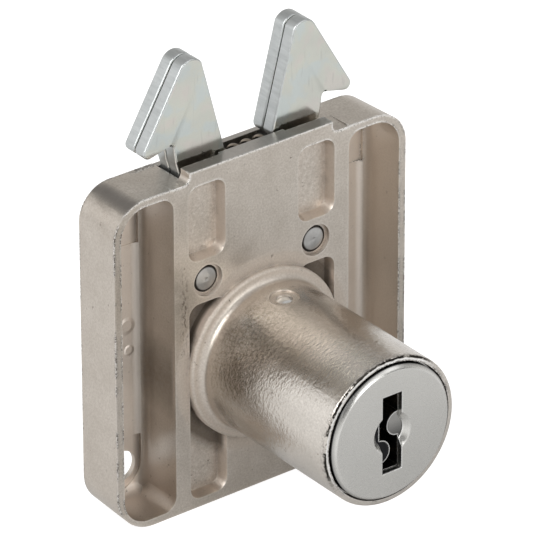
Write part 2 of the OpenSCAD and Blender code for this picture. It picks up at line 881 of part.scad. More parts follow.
module core() {
  inner_radius = face_radius - cap_skirt - press_gap;
  skirt_y = face_y + cap_depth;
  color("Goldenrod")
    difference() {
      union() {
        rod(inner_radius, face_y + cap_front + press_gap, skirt_y + press_gap);
        rod(rim_radius - 0.1, skirt_y + press_gap, counterbore_y - running_gap);
        rod(core_radius, counterbore_y - running_gap - press_gap, core_end_y);
        translate([-tail_thickness / 2, core_end_y - press_gap, -tail_width / 2])
          cube([tail_thickness, blade_length, tail_width]);
      }
      sheet(face_y + cap_front, keyway_end_y) keyway();
      for (i = [0:wafer_count])
        wafer_slot(first_wafer_y + i * wafer_pitch);
    }
}

// The drawn cap over the core's head, with a round dish in front of the keyway
module core_face() {
  dish_radius = dish_diameter / 2;
  color("LightGray")
    difference() {
      union() {
        taper(face_radius - face_bevel, face_y, face_radius, face_y + face_bevel);
        rod(face_radius, face_y + face_bevel, face_y + cap_depth);
      }
      rod(face_radius - cap_skirt, face_y + cap_front, face_y + cap_depth + past);
      taper(dish_radius + 0.4, face_y - 0.4, dish_radius - cap_front - 0.1, face_y + cap_front + 0.1);
      sheet(face_y - past, face_y + cap_depth)
        square([keyway_width, keyway_height], center = true);
    }
}

// Tumblers

// One wafer: its number along the core, its window's shift and its reach out of the core
module wafer(index, shift, reach = 0) {
  y = first_wafer_y + index * wafer_pitch;
  color("DarkGoldenrod")
    sheet(y - wafer_thickness / 2, y + wafer_thickness / 2) {
      difference() {
        intersection() {
          translate([0, reach]) circle(wafer_radius);
          circle(wafer_radius + reach);
          patch([-wafer_width / 2, -core_radius], [wafer_width / 2, core_radius + past]);
        }
        translate([0, shift]) square(wafer_window, center = true);
      }
      patch([wafer_width / 2 - press_gap, lug_bottom], [lug_reach, lug_bottom + lug_height]);
    }
}

module wafer_1() {
  wafer(0, window_shifts[0]);
}

module wafer_2() {
  wafer(1, window_shifts[1]);
}

module wafer_3() {
  wafer(2, window_shifts[2]);
}

module wafer_4() {
  wafer(3, window_shifts[3]);
}

module wafer_5() {
  wafer(4, window_shifts[4]);
}

module wafer_6() {
  wafer(5, window_shifts[5]);
}

module retaining_wafer() {
  wafer(wafer_count, 0, retainer_reach);
}

// The small spring under the lug of one wafer
module wafer_spring(index) {
  color("Gray")
    translate([small_spring_x, first_wafer_y + index * wafer_pitch, small_spring_bottom])
      coil(small_radius, small_wire, small_turns, small_spring_length);
}

module wafer_springs() {
  for (index = [0:wafer_count - 1])
    wafer_spring(index);
}

module retaining_wafer_spring() {
  wafer_spring(wafer_count);
}

case();
rear_cover();
left_pivot_pin();
right_pivot_pin();
stop_pin();
left_hook_front_plate();
left_hook_rear_plate();
right_hook_front_plate();
right_hook_rear_plate();
hook_spring();
cam();
driver();
core();
core_face();
retaining_wafer();
retaining_wafer_spring();
wafer_1();
wafer_2();
wafer_3();
wafer_4();
wafer_5();
wafer_6();
wafer_springs();
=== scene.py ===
import math

import bmesh
import bpy
import numpy as np
from mathutils import Matrix, Vector
from mathutils.geometry import tessellate_polygon


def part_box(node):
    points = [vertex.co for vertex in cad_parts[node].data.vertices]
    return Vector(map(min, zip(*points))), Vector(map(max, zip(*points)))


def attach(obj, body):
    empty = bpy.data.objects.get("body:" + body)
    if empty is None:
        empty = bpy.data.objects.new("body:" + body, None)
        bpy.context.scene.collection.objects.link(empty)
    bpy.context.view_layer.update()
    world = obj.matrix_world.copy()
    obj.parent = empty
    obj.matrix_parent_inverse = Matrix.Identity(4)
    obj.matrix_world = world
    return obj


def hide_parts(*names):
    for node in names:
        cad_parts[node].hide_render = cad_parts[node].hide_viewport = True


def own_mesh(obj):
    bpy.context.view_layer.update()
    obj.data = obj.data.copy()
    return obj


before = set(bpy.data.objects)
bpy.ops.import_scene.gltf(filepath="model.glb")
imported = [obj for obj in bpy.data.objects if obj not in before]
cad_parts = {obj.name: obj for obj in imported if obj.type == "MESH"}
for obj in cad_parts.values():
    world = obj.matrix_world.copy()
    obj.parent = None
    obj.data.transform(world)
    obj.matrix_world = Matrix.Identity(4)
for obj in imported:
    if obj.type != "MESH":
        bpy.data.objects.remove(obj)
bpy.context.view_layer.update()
MM = 0.001

# Camera
# A long lens looks down on the lock from the upper left of its key side. Its numbers were
# fitted to the outlines of the case, the barrel's mouth and the hooks.
view_turn = math.radians(-37.539)
view_rise = math.radians(28.798)
view_roll = math.radians(-0.164)
view_back = Vector((
    math.sin(view_turn) * math.cos(view_rise),
    -math.cos(view_turn) * math.cos(view_rise),
    math.sin(view_rise),
))
view_right = (-view_back).cross(Vector((0, 0, 1))).normalized()
view_up = view_right.cross(-view_back)
roll_right = view_right * math.cos(view_roll) + view_up * math.sin(view_roll)
roll_up = view_up * math.cos(view_roll) - view_right * math.sin(view_roll)
view_target = Vector((0.588, 0, 10.477)) * MM
view_distance = 710.96 * MM
focal_pixels, picture_pixels, sensor_width = 6417.8, 533, 36


def placed(name, data):
    """A new object made of a mesh, a lamp or a camera, put into the scene."""
    made = bpy.data.objects.new(name, data)
    bpy.context.collection.objects.link(made)
    return made


camera_data = bpy.data.cameras.new("camera")
camera_data.sensor_fit = "HORIZONTAL"
camera_data.sensor_width = sensor_width
camera_data.lens = focal_pixels / picture_pixels * sensor_width
camera_data.clip_start = 0.01
camera_data.clip_end = 20
camera = placed("camera", camera_data)
axes = Matrix((roll_right, roll_up, view_back)).transposed().to_4x4()
camera.matrix_world = Matrix.Translation(view_target + view_back * view_distance) @ axes
bpy.context.scene.camera = camera
bpy.context.scene.view_settings.view_transform = "Standard"

# Floor, sky and lamps
# The lock stands on the bottom edge of its case, on a white table in a white room with
# two softboxes. Bright and dark screens in the sky give the metal something to mirror.
floor_z = -17 * MM
floor_reach = 3.0
floor_mesh = bpy.data.meshes.new("floor")
floor_corners = [
    (x * floor_reach, y * floor_reach, floor_z) for x, y in ((-1, -1), (1, -1), (1, 1), (-1, 1))
]
floor_mesh.from_pydata(floor_corners, [], [(0, 1, 2, 3)])
floor = placed("floor", floor_mesh)


def new_material(name):
    """An empty material; returns it, its node tree and its Principled shader."""
    made = bpy.data.materials.new(name)
    made.use_nodes = True
    return made, made.node_tree, made.node_tree.nodes["Principled BSDF"]


def feed(tree, value, socket):
    """Links a value to an input if it is a socket itself, or else sets the input to it."""
    if isinstance(value, bpy.types.NodeSocket):
        tree.links.new(value, socket)
    elif value is not None:
        socket.default_value = value


def value_node(tree, kind, *values):
    """A maths node of a kind, fed by sockets or by plain numbers."""
    made = tree.nodes.new("ShaderNodeMath")
    made.operation = kind
    for socket, value in zip(made.inputs, values):
        feed(tree, value, socket)
    return made.outputs[0]


def vector_node(tree, kind, first, second=None):
    """A vector maths node of a kind, its second input a socket or three plain numbers."""
    made = tree.nodes.new("ShaderNodeVectorMath")
    made.operation = kind
    tree.links.new(first, made.inputs[0])
    feed(tree, second, made.inputs[1])
    return made.outputs["Value" if kind in ("DISTANCE", "DOT_PRODUCT", "LENGTH") else "Vector"]


def ranged(tree, value, low, high, first=0.0, last=1.0):
    """Maps a value between two limits to two others, held at both ends."""
    made = tree.nodes.new("ShaderNodeMapRange")
    made.inputs["From Min"].default_value = low
    made.inputs["From Max"].default_value = high
    made.inputs["To Min"].default_value = first
    made.inputs["To Max"].default_value = last
    tree.links.new(value, made.inputs["Value"])
    return made.outputs["Result"]


def split(tree, vector):
    """The X, Y and Z of a vector, as three sockets."""
    made = tree.nodes.new("ShaderNodeSeparateXYZ")
    tree.links.new(vector, made.inputs[0])
    return made.outputs["X"], made.outputs["Y"], made.outputs["Z"]


def tint(tree, factor, first, second):
    """Mixes two colours, each a socket or three numbers, by a factor."""
    made = tree.nodes.new("ShaderNodeMix")
    made.data_type = "RGBA"
    feed(tree, factor, made.inputs["Factor"])
    for title, colour in (("A", first), ("B", second)):
        feed(tree, (*colour, 1) if isinstance(colour, tuple) else colour, made.inputs[title])
    return made.outputs["Result"]


# The table: a glow keeps it white, and it mirrors darker in the metal close to the lock.
floor_finish, tree, shader = new_material("white_table")
tree.nodes.remove(shader)
matt = tree.nodes.new("ShaderNodeBsdfDiffuse")
matt.inputs["Color"].default_value = (0.56, 0.56, 0.56, 1)
glow = tree.nodes.new("ShaderNodeEmission")
glow.inputs["Color"].default_value = (1, 1, 1, 1)
rays = tree.nodes.new("ShaderNodeLightPath")
seen = value_node(tree, "MULTIPLY", rays.outputs["Is Camera Ray"], 0.75)
ground = tree.nodes.new("ShaderNodeNewGeometry").outputs["Position"]
apart = vector_node(tree, "DISTANCE", ground, (0.020, -0.020, floor_z))
shade = ranged(tree, apart, 0.015, 0.060, 0.0, 0.395)
mirrored = value_node(tree, "MULTIPLY_ADD", rays.outputs["Is Glossy Ray"], shade, seen)
tree.links.new(mirrored, glow.inputs["Strength"])
both_shaders = tree.nodes.new("ShaderNodeAddShader")
tree.links.new(matt.outputs[0], both_shaders.inputs[0])
tree.links.new(glow.outputs[0], both_shaders.inputs[1])
tree.links.new(both_shaders.outputs[0], tree.nodes["Material Output"].inputs["Surface"])
floor_mesh.materials.append(floor_finish)

world = bpy.data.worlds.new("room")
bpy.context.scene.world = world
world.use_nodes = True
tree = world.node_tree
room_light = tree.nodes["Background"]
towards = tree.nodes.new("ShaderNodeTexCoord").outputs["Generated"]
height_tone = tree.nodes.new("ShaderNodeValToRGB")
ramp = height_tone.color_ramp
ramp.elements[0].position, ramp.elements[0].color = 0.0, (0.90, 0.90, 0.90, 1)
ramp.elements[1].position, ramp.elements[1].color = 1.0, (0.55, 0.55, 0.55, 1)
for position, tone in ((0.18, 0.85), (0.42, 0.60), (0.60, 0.50)):
    step = ramp.elements.new(position)
    step.color = (tone, tone * 0.985, tone * 0.96, 1)
tree.links.new(split(tree, towards)[2], height_tone.inputs["Fac"])
sky_tone = height_tone.outputs["Color"]
# Round screens: the direction of the middle, two angles between which the edge fades, a level.
for centre, inner, outer, level in (
    ((0.25, -0.70, 0.67), 8, 22, 1.35),
    ((-0.70, 0.70, 0.13), 14, 30, 1.15),
    ((-0.53, -0.70, 0.48), 10, 24, 0.12),
    ((0.56, -0.70, 0.45), 10, 27, 0.08),
    ((0.53, -0.43, 0.72), 5, 16, 2.4),
):
    nearness = vector_node(tree, "DOT_PRODUCT", towards, Vector(centre).normalized())
    faint, full = math.cos(math.radians(outer)), math.cos(math.radians(inner))
    screen = ranged(tree, nearness, faint, full)
    screen.node.interpolation_type = "SMOOTHSTEP"
    sky_tone = tint(tree, screen, sky_tone, (level,) * 3)
rays = tree.nodes.new("ShaderNodeLightPath")
sky = tint(tree, rays.outputs["Is Camera Ray"], sky_tone, (1, 1, 1))
tree.links.new(sky, room_light.inputs["Color"])
room_light.inputs["Strength"].default_value = 1.0


def softbox(name, place, aim, size, power):
    """A rectangular area lamp at a place in millimetres, turned to face a point."""
    data = bpy.data.lights.new(name, "AREA")
    data.shape = "RECTANGLE"
    data.size, data.size_y = size[0] * MM, size[1] * MM
    data.energy = power
    start = Vector(place) * MM
    turn = (Vector(aim) * MM - start).to_track_quat("-Z", "Y").to_matrix().to_4x4()
    placed(name, data).matrix_world = Matrix.Translation(start) @ turn


softbox("left_softbox", (-420, -60, 330), (0, 0, 8), (320, 320), 1.6)
softbox("front_softbox", (0, -480, 260), (0, 0, 0), (260, 220), 0.8)

# Case casting
# One zinc die casting, tumbled and nickel-plated: satin on the flats, rough along the parting edges
# with painted highlights and glints there, browner in the pockets from thin plating and painted
# shade.


def merged_copy(node, name, fine_spots=()):
    """A copy of a CAD node with its corners joined and its flat triangles joined into whole faces.

    Every edge that turns by more than 28 degrees is weighted for rounding: 1, or a share
    near a fine spot, given as its place, its reach and that share.
    """
    flat_turn, edge_turn = math.radians(0.4), math.radians(28)
    shape = bmesh.new()
    shape.from_mesh(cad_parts[node].data)
    bmesh.ops.remove_doubles(shape, verts=shape.verts, dist=2e-7)
    bmesh.ops.dissolve_degenerate(shape, edges=shape.edges, dist=3e-6)
    bmesh.ops.dissolve_limit(shape, angle_limit=flat_turn, verts=shape.verts, edges=shape.edges)
    weight = shape.edges.layers.float.new("bevel_weight_edge")
    for edge in shape.edges:
        if edge.calc_face_angle(0) > edge_turn:
            edge[weight] = 1
            for spot, reach, share in fine_spots:
                if (edge.verts[0].co - Vector(spot) * MM).length < reach * MM:
                    edge[weight] = share
    mesh = bpy.data.meshes.new(name)
    shape.to_mesh(mesh)
    shape.free()
    return placed(name, mesh)


def even_shading(piece):
    """Smooths every face of a piece and evens the shading of its flat ones."""
    for face in piece.data.polygons:
        face.use_smooth = True
    evened = piece.modifiers.new("normals", "WEIGHTED_NORMAL")
    evened.mode = "FACE_AREA"
    evened.weight = 100
    evened.keep_sharp = True


def rounded_edges(piece, width, steps):
    """Rounds the weighted edges of a piece by a width in millimetres."""
    bevel = piece.modifiers.new("edges", "BEVEL")
    bevel.width = width * MM
    bevel.segments = steps
    bevel.limit_method = "WEIGHT"
    bevel.use_clamp_overlap = True
    even_shading(piece)


def new_group(name, inputs, outputs):
    """A shader group of plain numbers; returns it, its inner inputs and its inner outputs."""
    group = bpy.data.node_groups.new(name, "ShaderNodeTree")
    for title, start in inputs.items():
        socket = group.interface.new_socket(title, in_out="INPUT", socket_type="NodeSocketFloat")
        socket.default_value = start
    for title in outputs:
        group.interface.new_socket(title, in_out="OUTPUT", socket_type="NodeSocketFloat")
    ends = group.nodes.new("NodeGroupInput"), group.nodes.new("NodeGroupOutput")
    return group, ends[0].outputs, ends[1].inputs


def use_group(tree, group, **values):
    """Places a group in a tree, sets its inputs and returns its outputs."""
    made = tree.nodes.new("ShaderNodeGroup")
    made.node_tree = group
    for title, value in values.items():
        made.inputs[title].default_value = value
    return made.outputs


def noise(tree, vector, scale, detail, roughness):
    """A noise texture on a vector, its scale a number or a socket."""
    made = tree.nodes.new("ShaderNodeTexNoise")
    made.inputs["Detail"].default_value = detail
    made.inputs["Roughness"].default_value = roughness
    tree.links.new(vector, made.inputs["Vector"])
    feed(tree, scale, made.inputs["Scale"])
    return made.outputs["Fac"]


def product(tree, first, *others):
    """Multiplies a value by others, sockets or plain numbers."""
    for other in others:
        first = value_node(tree, "MULTIPLY", first, other)
    return first


# Cast skin: fine grain, scattered pits, orange-peel ripple and a slow cloudiness of tone.
cast_skin, scales, found = new_group(
    "cast_skin",
    {"Grain": 6000.0, "Pits": 900.0, "Ripple": 1500.0, "Clouds": 260.0},
    ("Grain", "Pit", "Ripple", "Cloud"),
)
place = cast_skin.nodes.new("ShaderNodeTexCoord").outputs["Object"]
specks = noise(cast_skin, place, scales["Pits"], 4, 0.65)
cast_skin.links.new(noise(cast_skin, place, scales["Grain"], 2, 0.6), found["Grain"])
cast_skin.links.new(ranged(cast_skin, specks, 0.66, 0.74), found["Pit"])
cast_skin.links.new(noise(cast_skin, place, scales["Ripple"], 3, 0.55), found["Ripple"])
cast_skin.links.new(noise(cast_skin, place, scales["Clouds"], 5, 0.6), found["Cloud"])

# Edge mask: 1 on outer and inner edges, found where a rounded normal leaves the real one; the
# materials paint highlights and glints with it.
edge_mask, sizes, found = new_group("edge_mask", {"Radius": 0.0004}, ("Mask", "Glint"))
soft = edge_mask.nodes.new("ShaderNodeBevel")
soft.samples = 6
edge_mask.links.new(sizes["Radius"], soft.inputs["Radius"])
hard = edge_mask.nodes.new("ShaderNodeNewGeometry").outputs["Normal"]
agree = vector_node(edge_mask, "DOT_PRODUCT", soft.outputs["Normal"], hard)
rub = ranged(edge_mask, agree, 0.995, 0.9)
place = edge_mask.nodes.new("ShaderNodeTexCoord").outputs["Object"]
crumbs = ranged(edge_mask, noise(edge_mask, place, 3600.0, 3, 0.75), 0.44, 0.56)
edge_mask.links.new(rub, found["Mask"])
edge_mask.links.new(product(edge_mask, rub, crumbs), found["Glint"])

# Hollow shade: 1 deep inside a hollow, 0 on open faces.
hollow_shade, sizes, found = new_group("hollow_shade", {"Reach": 0.006}, ("Mask",))
open_sky = hollow_shade.nodes.new("ShaderNodeAmbientOcclusion")
open_sky.samples = 8
open_sky.only_local = True
hollow_shade.links.new(sizes["Reach"], open_sky.inputs["Distance"])
hollow_shade.links.new(ranged(hollow_shade, open_sky.outputs["AO"], 0.95, 0.35), found["Mask"])


def within(tree, strength, *limits):
    """A mask as strong as given: the product of ranges, each a value, where it is 0 and where 1."""
    mask = ranged(tree, *limits[0], 0.0, strength)
    return product(tree, mask, *(ranged(tree, *limit) for limit in limits[1:]))


def stretched(tree, vector, scale, turn=(0, 0, 0)):
    """A place scaled along each axis and then turned."""
    made = tree.nodes.new("ShaderNodeMapping")
    made.inputs["Scale"].default_value = scale
    made.inputs["Rotation"].default_value = turn
    tree.links.new(vector, made.inputs["Vector"])
    return made.outputs["Vector"]


def metal(tree, shader, colour, roughness):
    """A bare metal with a colour from a socket and a roughness from a socket or a number."""
    tree.links.new(colour, shader.inputs["Base Color"])
    shader.inputs["Metallic"].default_value = 1.0
    feed(tree, roughness, shader.inputs["Roughness"])


def raised(tree, shader, height, depth):
    """Bumps the shader's normal by a height, 1 of it being a depth in millimetres."""
    bump = tree.nodes.new("ShaderNodeBump")
    bump.inputs["Strength"].default_value = 1.0
    bump.inputs["Distance"].default_value = depth * MM
    tree.links.new(height, bump.inputs["Height"])
    tree.links.new(bump.outputs["Normal"], shader.inputs["Normal"])


def dress(piece, material):
    """Gives a piece one material in place of those it came with."""
    piece.data.materials.clear()
    piece.data.materials.append(material)


nickel, tree, shader = new_material("nickel_casting")
skin = use_group(tree, cast_skin, Grain=4200.0, Pits=1100.0, Ripple=2400.0, Clouds=300.0)
cloud, grain, pit = skin["Cloud"], skin["Grain"], skin["Pit"]
edge_highlights = use_group(tree, edge_mask, Radius=0.00042)
crisp = use_group(tree, edge_mask, Radius=0.00055)["Mask"]
hollow = use_group(tree, hollow_shade, Reach=0.007)["Mask"]
corner = use_group(tree, hollow_shade, Reach=0.0012)["Mask"]
coordinates = tree.nodes.new("ShaderNodeTexCoord").outputs
place, normal = coordinates["Object"], coordinates["Normal"]
at_x, at_y, at_z = split(tree, place)
to_x, to_y, to_z = split(tree, normal)
on_barrel = ranged(tree, at_y, -0.0005, -0.003)
# Painted glints: broken dark and bright specks along the rims of the case, its lip and the barrel's
# mouth.
on_side = ranged(tree, value_node(tree, "ABSOLUTE", at_x), 0.0168, 0.0174)
rims = value_node(tree, "MAXIMUM", on_side, ranged(tree, at_z, 0.0229, 0.0235))
rims = value_node(tree, "MAXIMUM", rims, ranged(tree, at_y, -0.0195, -0.0199))
on_lip = within(tree, 1.0, (at_z, 0.0229, 0.0233), (at_y, 0.0009, 0.0006))
broken = ranged(tree, noise(tree, place, 420.0, 2, 0.5), 0.44, 0.54)
broken = value_node(tree, "MAXIMUM", broken, on_lip)
rim_glints = product(tree, rims, broken, crisp)
lip_glint = product(tree, on_lip, ranged(tree, grain, 0.38, 0.44))
glint = value_node(tree, "MAXIMUM", edge_highlights["Glint"], lip_glint)
rim = tint(tree, glint, (0.05, 0.042, 0.035), (0.97, 0.95, 0.92))
# Plating: cloudy and speckled, cleaner along the barrel and tarnished at the barrel's foot.
plated = tint(tree, cloud, (0.45, 0.405, 0.35), (0.725, 0.678, 0.62))
speckle = value_node(tree, "MULTIPLY_ADD", ranged(tree, grain, 0.36, 0.64), 0.42, 0.60)
plated = tint(tree, speckle, (0.34, 0.29, 0.245), plated)
plated = tint(tree, product(tree, on_barrel, 0.27), plated, (0.88, 0.86, 0.83))
barrel_foot = (-0.0066, -0.0040, 0.0052)
near_foot = ranged(tree, vector_node(tree, "DISTANCE", place, barrel_foot), 0.0105, 0.002)
tarnish = ranged(tree, noise(tree, place, 3000.0, 5, 0.8), 0.44, 0.60)
tarnish = product(tree, tarnish, on_barrel, near_foot)
# Painted shade in creases and tight corners, broken by the cloudiness.
crease_shade = product(tree, corner, ranged(tree, cloud, 0.36, 0.62, 0.0, 0.95))
# Edges lighter: burnished wear and a painted highlight.
wear_and_edge_sheen = ranged(tree, edge_highlights["Mask"], 0, 1, 0, 0.4)
# The barrel's mouth: a painted dark reflection in a line round its corner and a painted highlight
# in a line inside it, on the upper left.
radial = vector_node(tree, "LENGTH", vector_node(tree, "MULTIPLY", place, (1, 0, 1)))
lean = value_node(tree, "MULTIPLY_ADD", at_z, 0.8, product(tree, at_x, -0.6))
at_mouth = within(tree, 1.0, (at_y, -0.0218, -0.0221), (lean, 0.0005, 0.003))
ragged = noise(tree, place, 1300.0, 3, 0.6)
radial = value_node(tree, "MULTIPLY_ADD", ragged, 0.0004, radial)


def near_value(tree, value, middle, faint, full):
    """1 where a value is within a distance of a middle, 0 beyond a wider one."""
    apart = value_node(tree, "ABSOLUTE", value_node(tree, "SUBTRACT", value, middle))
    return ranged(tree, apart, faint, full)


mouth_dark_reflection = near_value(tree, radial, 0.00905, 0.00016, 0.00008)
mouth_dark_reflection = product(tree, mouth_dark_reflection, at_mouth, ranged(tree, ragged, 0.40, 0.48))
mouth_highlight = product(tree, near_value(tree, radial, 0.00878, 0.00014, 0.00006), at_mouth)
# Recess floors: pebbled by the die, with bright flecks and darker dents.
recess_floor = within(
    tree, 1.0, (at_y, 0.0007, 0.0011), (at_y, 0.0020, 0.0016), (to_y, -0.6, -0.9)
)
pebbles = noise(tree, place, 3300.0, 4, 0.7)
fleck = product(tree, recess_floor, ranged(tree, pebbles, 0.54, 0.70, 0.0, 0.55))
dent = product(tree, recess_floor, ranged(tree, pebbles, 0.47, 0.33, 0.0, 0.45))


# Two long dark bands, painted dark reflections: over the case's upper left corner and along the
# barrel, each found by how near the surface faces a direction.
def facing_band(tree, normal, towards, wide, narrow):
    """1 where a surface faces a direction within a narrow angle in degrees, 0 beyond a wide one."""
    facing = vector_node(tree, "DOT_PRODUCT", normal, Vector(towards).normalized())
    return ranged(tree, facing, math.cos(math.radians(wide)), math.cos(math.radians(narrow)))


corner_dark_reflection = facing_band(tree, normal, (-0.43, 0, 0.90), 19, 4)
corner_area = within(tree, 0.9, (at_x, -0.0120, -0.0140), (at_z, 0.0140, 0.0160))
corner_dark_reflection = product(tree, corner_dark_reflection, corner_area)
barrel_dark_reflection = facing_band(tree, normal, (-0.642, 0, 0.767), 10, 3)
barrel_dark_reflection = product(tree, barrel_dark_reflection, ranged(tree, at_y, -0.0060, -0.0130, 0.0, 0.5))
# Soot left along the left rib.
sooty = noise(tree, stretched(tree, place, (1.0, 1.0, 0.3)), 3200.0, 4, 0.7)
soot = product(
    tree,
    ranged(tree, sooty, 0.50, 0.60),
    within(
        tree,
        0.75,
        (value_node(tree, "ABSOLUTE", value_node(tree, "ADD", at_x, 0.0108)), 0.0007, 0.0002),
        (at_z, 0.0020, 0.0060),
        (at_z, 0.0150, 0.0110),
    ),
)
# Single walls painted darker or lighter: painted shade on the pocket walls, at the foot of the near
# wall, on the lip's top and in the gap by the ring; painted light on the pocket's floor and the far
# wall. How strong each is, then where it fades in.
inner_wall_shade = within(tree, 0.55, (to_x, 0.5, 0.8), (at_x, -0.0150, -0.0165))
pocket_floor_light = within(tree, 0.55, (at_y, 0.0040, 0.0050), (to_y, -0.7, -0.9))
near_wall_shade = within(tree, 0.26, (at_x, -0.0118, -0.0122), (to_x, -0.6, -0.8))
wall_foot_shade = within(
    tree,
    0.72,
    (at_x, -0.0137, -0.0129),
    (at_x, -0.0121, -0.0128),
    (at_y, 0.0045, 0.0052),
    (to_y, -0.05, -0.3),
)
far_wall_light = within(tree, 0.45, (at_x, 0.0125, 0.0140), (to_x, -0.6, -0.8))
lip_top_shade = within(tree, 0.6, (at_z, 0.0249, 0.0253), (to_z, 0.6, 0.9))
ring_gap_shade = within(tree, 0.8, (radial, 0.0134, 0.0120), (at_y, 0.0003, 0.0008))
# All layers of tone, from the bare plating up.
coat = plated
for mask, colour in (
    (tarnish, (0.29, 0.255, 0.20)),
    # Browner in the hollows: thin plating and painted shade.
    (hollow, (0.72, 0.635, 0.56)),
    (crease_shade, (0.15, 0.12, 0.095)),
    (pit, (0.20, 0.17, 0.14)),
    (wear_and_edge_sheen, (0.80, 0.76, 0.71)),
    (rim_glints, rim),
    (mouth_highlight, (0.98, 0.97, 0.95)),
    (mouth_dark_reflection, (0.02, 0.018, 0.015)),
    (fleck, (0.80, 0.77, 0.73)),
    (dent, (0.36, 0.32, 0.275)),
    (corner_dark_reflection, (0.24, 0.222, 0.205)),
    (barrel_dark_reflection, (0.34, 0.305, 0.25)),
    (soot, (0.13, 0.10, 0.078)),
    (inner_wall_shade, (0.40, 0.355, 0.31)),
    (pocket_floor_light, (0.92, 0.85, 0.78)),
    (near_wall_shade, (0.42, 0.37, 0.325)),
    (wall_foot_shade, (0.28, 0.25, 0.22)),
    (far_wall_light, (0.95, 0.86, 0.76)),
    (lip_top_shade, (0.42, 0.415, 0.40)),
    (ring_gap_shade, (0.17, 0.14, 0.11)),
):
    coat = tint(tree, mask, coat, colour)
on_ring = within(tree, 1.0, (radial, 0.0124, 0.0120), (radial, 0.0094, 0.0098))
dull = value_node(tree, "MULTIPLY_ADD", cloud, 0.24, 0.20)
for mask, more in ((hollow, 0.3), (on_barrel, -0.10), (on_ring, 0.30)):
    dull = value_node(tree, "MULTIPLY_ADD", mask, more, dull)
metal(tree, shader, coat, dull)
# Relief, in millimetres: ripples, grain, pits, broken rims, pebbled recess floors, the flow
# lines of the upper left corner and two domes that ejector pins left on the pocket's floor.
wave = value_node(tree, "MULTIPLY_ADD", on_barrel, 0.028, 0.016)
height = product(tree, skin["Ripple"], wave)
at_corner = within(tree, 1.0, (at_x, -0.0135, -0.0165), (at_z, 0.013, 0.019))
flow = product(tree, at_corner, noise(tree, place, 1150.0, 2, 0.5))
relief = [(grain, 0.011), (pit, -0.02), (product(tree, rim_glints, edge_highlights["Glint"]), 0.04)]
for centre, reach in (
    ((-0.01399, 0.00610, 0.00214), 0.0007),
    ((-0.01426, 0.00610, 0.00527), 0.0011),
):
    apart = vector_node(tree, "DISTANCE", place, centre)
    relief.append((ranged(tree, apart, reach, reach * 0.6), 0.12))
relief += [(product(tree, recess_floor, pebbles), 0.03), (flow, 0.05)]
for form, depth in relief:
    height = value_node(tree, "MULTIPLY_ADD", form, depth, height)
raised(tree, shader, height, 1.0)

pin_mouths = [((x, 0, 11.5), 2.6, 0.4) for x in (-7.5, 7.5)]
dimple_edge = [((0, -3.3, 9), 2.4, 0.3)]
case_casting = merged_copy("case", "case_casting", pin_mouths + dimple_edge)
rounded_edges(case_casting, 0.3, 3)
dress(case_casting, nickel)
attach(case_casting, "case")
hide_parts("case")

# Rear cover
# A blanked sheet-steel plate pressed into the back of the case, nickel-plated and
# brushed up and down, with the riveted ends of the pins and studs in it.
brushed, tree, shader = new_material("brushed_plate")
place = tree.nodes.new("ShaderNodeTexCoord").outputs["Object"]
strokes = noise(tree, stretched(tree, place, (1.0, 1.0, 0.04)), 5200.0, 3, 0.7)
skin = use_group(tree, cast_skin, Grain=6000.0, Pits=420.0, Ripple=900.0, Clouds=180.0)
toned = tint(tree, skin["Cloud"], (0.40, 0.375, 0.345), (0.60, 0.58, 0.545))
toned = tint(tree, skin["Pit"], toned, (0.20, 0.17, 0.14))
toned = tint(tree, ranged(tree, strokes, 0.35, 0.7, 0.0, 0.4), toned, (0.26, 0.23, 0.20))
metal(tree, shader, toned, ranged(tree, strokes, 0.3, 0.7, 0.24, 0.42))
raised(tree, shader, strokes, 0.012)
cover_plate = merged_copy("rear_cover", "cover_plate")
rounded_edges(cover_plate, 0.1, 2)
dress(cover_plate, brushed)
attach(cover_plate, "case")
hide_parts("rear_cover")

# Pins
# Turned steel pins: each end a shallow cone with a centre mark, darker round the edge, with painted
# shade in the crevice round it; the thin rear ends are riveted over in the cover.
turned, tree, shader = new_material("turned_steel")
skin = use_group(tree, cast_skin, Grain=6000.0, Pits=1500.0, Ripple=1800.0, Clouds=900.0)
crevice_shade = use_group(tree, hollow_shade, Reach=0.0005)["Mask"]
steel = tint(tree, skin["Cloud"], (0.30, 0.295, 0.285), (0.56, 0.555, 0.545))
# Each pin end darker round its edge: dark beyond a radius from the pin's axis.
place = tree.nodes.new("ShaderNodeTexCoord").outputs["Object"]
flattened = vector_node(tree, "MULTIPLY", vector_node(tree, "ABSOLUTE", place), (1, 0, 1))
off_axis = vector_node(tree, "DISTANCE", flattened, (0.0075, 0, 0.0115))
low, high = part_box("left_pivot_pin")
pin_radius = (high[0] - low[0]) / 2
darker_edge = ranged(tree, off_axis, pin_radius - 0.00034, pin_radius - 0.0002)
steel = tint(tree, darker_edge, steel, (0.035, 0.03, 0.027))
# Painted shade in the crevices round the pins.
metal(tree, shader, tint(tree, crevice_shade, steel, (0.06, 0.055, 0.05)), 0.34)
shader.inputs["Anisotropic"].default_value = 0.8
lathe = tree.nodes.new("ShaderNodeTangent")
lathe.direction_type = "RADIAL"
lathe.axis = "Y"
tree.links.new(lathe.outputs["Tangent"], shader.inputs["Tangent"])
raised(tree, shader, skin["Ripple"], 0.008)


def outward(mesh, crease, join=None):
    """Turns a mesh's faces outward and smooths it, save edges that turn by more than a crease.

    The crease is in degrees. With a distance to join, corners that lie closer become one first.
    """
    shape = bmesh.new()
    shape.from_mesh(mesh)
    if join:
        bmesh.ops.remove_doubles(shape, verts=shape.verts, dist=join)
    bmesh.ops.recalc_face_normals(shape, faces=shape.faces)
    shape.to_mesh(mesh)
    shape.free()
    for face in mesh.polygons:
        face.use_smooth = True
    mesh.set_sharp_from_angle(angle=math.radians(crease))


